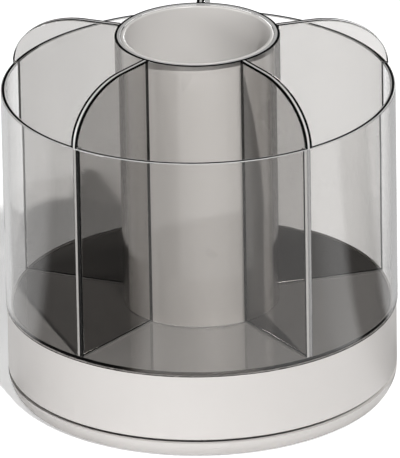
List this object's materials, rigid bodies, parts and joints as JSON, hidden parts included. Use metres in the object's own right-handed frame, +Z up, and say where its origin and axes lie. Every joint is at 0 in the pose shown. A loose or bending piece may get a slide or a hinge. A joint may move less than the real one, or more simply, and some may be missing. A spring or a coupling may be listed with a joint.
{
  "type": "rotating desk organizer",
  "caption": "Round desk organizer that turns on a low foot: clear grey compartments with arched dividers around a tall opaque middle cup, on a plain off-white band.",
  "frame": {"origin": "on the turning axis, at the level on which the pads stand", "axes": "+Z up along the turning axis, -Y towards the front"},
  "size_m": [0.14, 0.14, 0.1334],
  "materials": {
    "off_white_plastic": "satin moulded",
    "cup_plastic": "satin moulded",
    "clear_grey_plastic": "clear grey, polished",
    "dark_plastic": "polished",
    "nylon": "natural",
    "race_steel": "pressed and zinc plated",
    "ball_steel": "polished",
    "zinc_steel": "zinc plated",
    "pad_rubber": "matt"
  },
  "bodies": {
    "base": {"foot_plate": "off_white_plastic", "rubber_pads": "pad_rubber", "lower_race": "race_steel", "pivot_bush": "nylon"},
    "cage": {"ball_cage": "nylon", "bearing_balls": "ball_steel"},
    "rotor": {"upper_race": "race_steel", "turntable_disc": "off_white_plastic", "band": "off_white_plastic", "spindle": "race_steel", "retaining_washer": "zinc_steel", "retaining_screw": "zinc_steel", "deck_cover": "dark_plastic", "cover_screws": "zinc_steel", "floor_plate": "clear_grey_plastic", "outer_wall": "clear_grey_plastic", "hub_tube": "clear_grey_plastic", "divider_1": "clear_grey_plastic", "divider_2": "clear_grey_plastic", "divider_3": "clear_grey_plastic", "divider_4": "clear_grey_plastic", "divider_5": "clear_grey_plastic", "centre_cup": "cup_plastic"}
  },
  "joints": [
    {"name": "turntable_spin", "type": "hinge", "parent": "base", "child": "rotor", "pos_m": [0, 0, 0], "axis": [0, 0, 1], "continuous": true},
    {"name": "cage_orbit", "type": "hinge", "parent": "base", "child": "cage", "pos_m": [0, 0, 0], "axis": [0, 0, 1], "continuous": true}
  ],
  "couplings": [
    {"joint": "cage_orbit", "follows": "turntable_spin", "ratio": 0.5}
  ]
}
